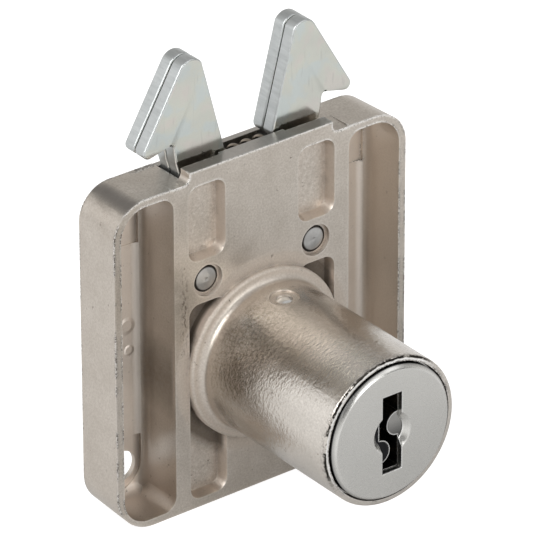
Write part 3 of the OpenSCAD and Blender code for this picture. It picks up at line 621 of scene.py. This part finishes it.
def turned_piece(name, middle, profile, sides):
    """A surface turned round an axis along Y, in millimetres.

    The profile is a run of (radius, depth) points; each is carried once round the axis, so
    a point is (radius cos turn, depth, radius sin turn), with both ends of the run on the axis.
    """
    radius, depth = np.array(profile, float).T
    turn = np.linspace(0, 2 * np.pi, sides, endpoint=False)[None, :]
    x = radius[:, None] * np.cos(turn) + middle[0]
    z = radius[:, None] * np.sin(turn) + middle[1]
    points = np.stack([x, depth[:, None] + 0 * x, z], axis=-1).reshape(-1, 3) * MM
    ring = np.arange((len(radius) - 1) * sides).reshape(-1, sides)
    beside = np.roll(ring, -1, axis=1)
    quads = np.stack([ring, ring + sides, beside + sides, beside], axis=-1).reshape(-1, 4)
    mesh = bpy.data.meshes.new(name)
    mesh.from_pydata(points.tolist(), [], quads.tolist())
    outward(mesh, 24, 1e-7)
    return placed(name, mesh)


tail_radius, tail_length = 1.1, 0.9
for side, x in (("left", -7.5), ("right", 7.5)):
    node = f"{side}_pivot_pin"
    low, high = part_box(node)
    tail = high[1] / MM
    body = (high[0] - low[0]) / 2 / MM
    pin_profile = [
        (0, 0.36), (0.12, 0.35), (0.22, 0.305), (0.3, 0.302), (body - 0.32, 0.40),
        (body - 0.1, 0.46), (body, 0.58), (body, tail - tail_length),
        (tail_radius, tail - tail_length), (tail_radius, tail - 0.06), (1.02, tail), (0, tail),
    ]
    pin = turned_piece(f"{side}_turned_pin", (x, 11.5), pin_profile, 64)
    dress(pin, turned)
    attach(pin, "case")
    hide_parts(node)
bright_pin, tree, shader = new_material("bright_pin")
skin = use_group(tree, cast_skin, Grain=6000.0, Pits=1500.0, Ripple=1800.0, Clouds=1200.0)
bright_steel = tint(tree, skin["Cloud"], (0.62, 0.60, 0.57), (0.95, 0.94, 0.92))
metal(tree, shader, bright_steel, 0.22)
raised(tree, shader, skin["Ripple"], 0.02)
dress(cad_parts["stop_pin"], bright_pin)

# Hooks
# Each hook is two stamped steel plates, bright zinc-plated: the faces mirror-like
# with faint pink and blue clouds, the sheared edges rougher and streaked across.
zinc, tree, shader = new_material("zinc_plate")
skin = use_group(tree, cast_skin, Grain=5000.0, Pits=420.0, Ripple=700.0, Clouds=210.0)
edge_highlights = use_group(tree, edge_mask, Radius=0.0003)["Glint"]
coordinates = tree.nodes.new("ShaderNodeTexCoord").outputs
place = coordinates["Object"]
flat = value_node(tree, "ABSOLUTE", split(tree, coordinates["Normal"])[1])
flat = ranged(tree, flat, 0.85, 0.97)
shear = noise(tree, stretched(tree, place, (1.0, 0.12, 1.0)), 1900.0, 4, 0.7)
scratch_turn = stretched(tree, place, (1.0, 1.0, 0.12), (0, 0.5, 0))
scratches = ranged(tree, noise(tree, scratch_turn, 2600.0, 2, 0.5), 0.62, 0.72)
hues = noise(tree, place, 330.0, 3, 0.5)
blue, green, pink = (0.575, 0.62, 0.605), (0.61, 0.62, 0.56), (0.635, 0.605, 0.56)
face_tone = tint(tree, ranged(tree, hues, 0.42, 0.5), blue, green)
face_tone = tint(tree, ranged(tree, hues, 0.54, 0.64), face_tone, pink)
dim = ranged(tree, skin["Cloud"], 0.35, 0.65, 0.3, 0.0)
face_tone = tint(tree, dim, face_tone, (0.45, 0.46, 0.45))
edge_tone = tint(tree, shear, (0.34, 0.36, 0.36), (0.66, 0.68, 0.68))
plate_tone = tint(tree, flat, edge_tone, face_tone)
plate_tone = tint(tree, ranged(tree, scratches, 0, 1, 0, 0.22), plate_tone, (0.35, 0.35, 0.34))
# Painted glints along the plates' rounded rims.
plate_tone = tint(tree, ranged(tree, edge_highlights, 0, 1, 0, 0.5), plate_tone, (0.80, 0.81, 0.80))
edge_dull = ranged(tree, flat, 0, 1, 0.33, 0.11)
metal(tree, shader, plate_tone, value_node(tree, "MULTIPLY_ADD", skin["Cloud"], 0.14, edge_dull))
height = product(tree, skin["Ripple"], 0.012)
height = value_node(tree, "MULTIPLY_ADD", skin["Grain"], 0.003, height)
across = product(tree, shear, ranged(tree, flat, 0, 1, 0.022, 0.0))
raised(tree, shader, value_node(tree, "ADD", height, across), 1.0)


def outline_loops(node):
    """The closed outlines of a flat CAD plate's front face, in (x, z), the longest first."""
    shape = bmesh.new()
    shape.from_mesh(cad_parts[node].data)
    bmesh.ops.remove_doubles(shape, verts=shape.verts, dist=2e-7)
    shape.normal_update()
    front = min(vert.co.y for vert in shape.verts)
    following = {}
    for face in shape.faces:
        if face.normal.y < -0.99 and abs(face.verts[0].co.y - front) < 1e-6:
            for corner in face.loops:
                if corner.link_loop_radial_next.face.normal.y > -0.99:
                    following[corner.vert.index] = corner.link_loop_next.vert.index
    places = {vert.index: (vert.co.x, vert.co.z) for vert in shape.verts}
    shape.free()
    found = []
    while following:
        at = next(iter(following))
        run = []
        while at in following:
            run.append(places[at])
            at = following.pop(at)
        found.append(np.array(run))
    return sorted(found, key=len, reverse=True)


def rounded_plate(name, node, round_off, steps):
    """A flat plate with the outline of a CAD plate and rounded rims, made from that outline alone.

    The rims are quarter circles: at each step the outline moves inward along the mean of its
    two edge normals, divided by that mean's length squared, while its depth follows the circle.
    """
    loops = outline_loops(node)
    low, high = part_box(node)
    swing = np.linspace(0, np.pi / 2, steps + 1)
    inset = round_off * MM * np.concatenate([1 - np.sin(swing), (1 - np.sin(swing))[::-1]])
    sunk = round_off * MM * (1 - np.cos(swing))
    depth = np.concatenate([low[1] + sunk, (high[1] - sunk)[::-1]])
    points, faces, caps = [], [], ([], [])
    for loop in loops:
        edge = np.roll(loop, -1, axis=0) - loop
        edge /= np.linalg.norm(edge, axis=1)[:, None]
        normal = np.stack([-edge[:, 1], edge[:, 0]], axis=1)
        mean = (normal + np.roll(normal, 1, axis=0)) / 2
        inward = mean / np.maximum((mean**2).sum(axis=1), 0.4)[:, None]
        flat = loop[None] + inset[:, None, None] * inward[None]
        start, count = len(points), len(loop)
        deep = np.broadcast_to(depth[:, None, None], flat[..., :1].shape)
        run = np.concatenate([flat[..., :1], deep, flat[..., 1:]], axis=-1)
        points += run.reshape(-1, 3).tolist()
        ring = start + np.arange((len(depth) - 1) * count).reshape(-1, count)
        beside = np.roll(ring, -1, axis=1)
        quads = np.stack([ring, ring + count, beside + count, beside], axis=-1)
        faces += quads.reshape(-1, 4).tolist()
        caps[0].append(range(start, start + count))
        caps[1].append(range(start + (len(depth) - 1) * count, start + len(depth) * count))
    for cap in caps:
        order = [index for loop in cap for index in loop]
        filled = tessellate_polygon([[Vector(points[index]) for index in loop] for loop in cap])
        faces += [[order[index] for index in corner] for corner in filled]
    mesh = bpy.data.meshes.new(name)
    mesh.from_pydata(points, [], faces)
    outward(mesh, 34)
    plate = placed(name, mesh)
    even_shading(plate)
    return plate


for side in ("left", "right"):
    for layer in ("front", "rear"):
        node = f"{side}_hook_{layer}_plate"
        plate = rounded_plate(f"{side}_hook_{layer}_stamping", node, round_off=0.24, steps=4)
        dress(plate, zinc)
        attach(plate, f"{side}_hook")
        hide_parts(node)

# Hook spring
# A cold-wound coil of drawn steel wire, phosphated brown, between the two hooks.
spring_steel, tree, shader = new_material("spring_steel")
skin = use_group(tree, cast_skin, Grain=6000.0, Pits=1500.0, Ripple=2400.0, Clouds=600.0)
metal(tree, shader, tint(tree, skin["Cloud"], (0.16, 0.13, 0.10), (0.40, 0.35, 0.29)), 0.32)
raised(tree, shader, skin["Ripple"], 0.01)


def wound_wire(name, centre, radius, wire, turns, length, steps, sides):
    """A coil of round wire along X about a centre, all in millimetres.

    The middle of the wire goes round the axis at one radius while it moves along it at
    an even rate; each point of the surface lies half a wire from that middle, at an angle
    counted from outward towards the axis' direction.
    """
    along = np.linspace(0, 1, steps)[:, None]
    about = np.linspace(0, 2 * np.pi, sides, endpoint=False)[None, :]
    turn = 2 * np.pi * turns * along
    out = radius + wire / 2 * np.cos(about)
    x = (along - 0.5) * (length - wire) + wire / 2 * np.sin(about)
    y = out * np.cos(turn)
    z = out * np.sin(turn)
    points = np.stack([x + centre[0] + 0 * out, y + centre[1], z + centre[2]], axis=-1)
    ring = np.arange((steps - 1) * sides).reshape(steps - 1, sides)
    beside = np.roll(ring, -1, axis=1)
    quads = np.stack([ring, beside, beside + sides, ring + sides], axis=-1).reshape(-1, 4)
    caps = [tuple(range(sides))[::-1], tuple(range((steps - 1) * sides, steps * sides))]
    mesh = bpy.data.meshes.new(name)
    mesh.from_pydata(points.reshape(-1, 3) * MM, [], [tuple(q) for q in quads.tolist()] + caps)
    for face in mesh.polygons:
        face.use_smooth = True
    return placed(name, mesh)


low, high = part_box("hook_spring")
spring_middle = [(a + b) / 2 / MM for a, b in zip(low, high)]
hook_coil = wound_wire(
    "hook_coil", spring_middle, radius=0.98, wire=0.52, turns=5, length=9.4, steps=241, sides=14
)
dress(hook_coil, spring_steel)
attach(hook_coil, "hook_spring")
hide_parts("hook_spring")
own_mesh(hook_coil)

# Core
# The turned core: its face is a satin cap of stainless steel, the rest is nickel-plated
# brass with the keyway cut through it, seen only through the keyway.
cap_steel, tree, shader = new_material("satin_cap")
skin = use_group(tree, cast_skin, Grain=9000.0, Pits=420.0, Ripple=900.0, Clouds=240.0)
edge_highlights = use_group(tree, edge_mask, Radius=0.0003)["Mask"]
toned = tint(tree, skin["Cloud"], (0.60, 0.595, 0.57), (0.665, 0.655, 0.63))
# Painted highlight along the cap's rounded edges.
toned = tint(tree, edge_highlights, toned, (0.85, 0.85, 0.84))
# The cap's side, painted dark: painted shade in the gap to the barrel.
coordinates = tree.nodes.new("ShaderNodeTexCoord").outputs
to_y = split(tree, coordinates["Normal"])[1]
flattened = vector_node(tree, "MULTIPLY", coordinates["Object"], (1, 0, 1))
off_axis = vector_node(tree, "LENGTH", flattened)
gap_shade = within(tree, 1.0, (to_y, -0.75, -0.5), (off_axis, 0.0070, 0.0072))
toned = tint(tree, gap_shade, toned, (0.05, 0.05, 0.05))
metal(tree, shader, toned, ranged(tree, skin["Grain"], 0.3, 0.7, 0.24, 0.34))
raised(tree, shader, skin["Grain"], 0.002)
cap = merged_copy("core_face", "core_cap")
rounded_edges(cap, 0.12, 2)
dress(cap, cap_steel)
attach(cap, "core")
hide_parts("core_face")

core_metal, tree, shader = new_material("core_metal")
skin = use_group(tree, cast_skin, Grain=7000.0, Pits=900.0, Ripple=1500.0, Clouds=400.0)
hollow = use_group(tree, hollow_shade, Reach=0.004)["Mask"]
edge_highlights = use_group(tree, edge_mask, Radius=0.0003)["Mask"]
toned = tint(tree, skin["Cloud"], (0.50, 0.495, 0.47), (0.70, 0.69, 0.66))
coordinates = tree.nodes.new("ShaderNodeTexCoord").outputs
to_y = split(tree, coordinates["Normal"])[1]
at_x, at_y, at_z = split(tree, coordinates["Object"])
# The wards' fronts in painted light and shade: the left one painted dark, the right one painted
# lighter towards its top.
right_ward_light_and_shade = ranged(tree, at_z, -0.0016, 0.0010)
right_ward_light_and_shade = tint(tree, right_ward_light_and_shade, (0.03, 0.03, 0.032), (0.36, 0.355, 0.34))
ward = tint(tree, ranged(tree, at_x, -0.0003, 0.0001), (0.02, 0.02, 0.022), right_ward_light_and_shade)
toned = tint(tree, ranged(tree, to_y, -0.5, -0.9), toned, ward)
toned = tint(tree, hollow, toned, (0.14, 0.13, 0.12))
# Painted highlight along the edges, the lit edge of the wards among them.
metal(tree, shader, tint(tree, edge_highlights, toned, (0.92, 0.91, 0.89)), 0.26)
raised(tree, shader, skin["Ripple"], 0.01)
for name in ("core", "driver", "cam"):
    dress(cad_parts[name], core_metal)

# Wafers
# Stamped brass wafers with a window for the key, each on a fine coil spring.
brass, tree, shader = new_material("wafer_brass")
skin = use_group(tree, cast_skin, Grain=6000.0, Pits=700.0, Ripple=1200.0, Clouds=500.0)
toned = tint(tree, skin["Cloud"], (0.50, 0.36, 0.16), (0.72, 0.55, 0.28))
metal(tree, shader, tint(tree, skin["Pit"], toned, (0.20, 0.13, 0.06)), 0.3)
raised(tree, shader, skin["Grain"], 0.003)
for name in ("retaining_wafer", *(f"wafer_{count}" for count in range(1, 7))):
    dress(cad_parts[name], brass)
for name in ("retaining_wafer_spring", "wafer_springs"):
    dress(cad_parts[name], spring_steel)
